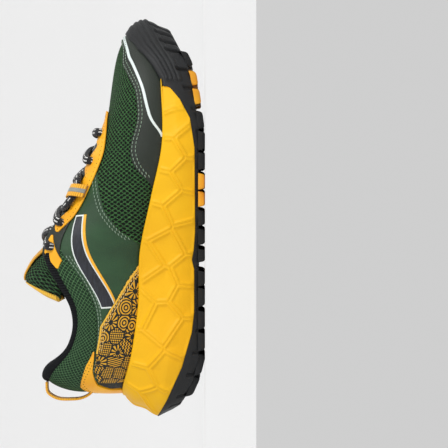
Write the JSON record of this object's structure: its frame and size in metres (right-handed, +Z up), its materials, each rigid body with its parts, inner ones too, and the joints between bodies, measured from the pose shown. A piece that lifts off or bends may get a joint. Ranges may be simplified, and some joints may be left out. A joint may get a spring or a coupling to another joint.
{
  "type": "running shoe",
  "caption": "Right low-cut trail running shoe: lugged rubber outsole, thick moulded foam midsole, layered mesh upper, padded tongue and collar, lace and heel pull loop.",
  "frame": {"origin": "on the ground, below the middle of the shoe's box", "axes": "+X towards the toe, +Y towards the inner (medial) side, +Z up"},
  "size_m": [0.2998, 0.1171, 0.1387],
  "materials": {
    "black_rubber": "moulded matt",
    "yellow_rubber": "moulded matt",
    "yellow_foam": "moulded EVA foam, satin skin",
    "board": "non-woven board",
    "ochre_fabric": "brushed knit",
    "stiffener": "moulded sheet",
    "green_mesh": "open knitted mesh",
    "green_jacquard": "diamond jacquard mesh",
    "black_lining": "fine padded mesh",
    "dark_synthetic": "smooth coated synthetic",
    "green_synthetic": "smooth coated synthetic",
    "yellow_synthetic": "smooth coated synthetic",
    "printed_synthetic": "printed synthetic",
    "yellow_piping": "folded tape",
    "yellow_webbing": "ribbed webbing",
    "reflective": "retroreflective film",
    "navy_film": "welded film",
    "black_lace": "round woven lace",
    "clear_tip": "heat-shrunk film"
  },
  "bodies": {
    "shoe": {"outsole": "black_rubber", "outsole_pod_forefoot": "yellow_rubber", "outsole_pod_midfoot": "yellow_rubber", "midsole": "yellow_foam", "lasting_board": "board", "sockliner": "ochre_fabric", "toe_puff": "stiffener", "heel_counter": "stiffener", "vamp_mesh": "green_mesh", "collar_panel": "green_jacquard", "collar_lining": "black_lining", "mudguard": "dark_synthetic", "reflective_piping": "reflective", "heel_overlay": "yellow_synthetic", "lace_stay": "yellow_synthetic", "quarter_lateral": "green_synthetic", "quarter_medial": "green_synthetic", "print_panel_lateral": "printed_synthetic", "print_panel_medial": "printed_synthetic", "print_piping_lateral": "yellow_piping", "print_piping_medial": "yellow_piping", "eyestay_underlay_lateral": "dark_synthetic", "eyestay_underlay_medial": "dark_synthetic", "top_eyelet_patch_lateral": "yellow_synthetic", "top_eyelet_patch_medial": "yellow_synthetic", "lace_loop_lateral": "yellow_webbing", "lace_loop_medial": "yellow_webbing", "side_mark_lateral": "navy_film", "side_mark_medial": "navy_film", "aglet_lateral": "clear_tip", "aglet_medial": "clear_tip", "heel_pull_loop": "yellow_webbing", "tongue": "green_mesh", "tongue_webbing": "yellow_webbing", "lace": "black_lace"},
    "tongue_tip": {"tongue_top": "green_mesh", "tongue_binding": "yellow_piping", "tongue_webbing_top": "yellow_webbing"}
  },
  "joints": [
    {"name": "tongue_tilt", "type": "hinge", "parent": "shoe", "child": "tongue_tip", "pos_m": [-0.0274, 0.005, 0.1135], "axis": [0, 1, 0], "range_deg": [-8, 16], "stiffness_Nm_per_rad": 0.3}
  ]
}
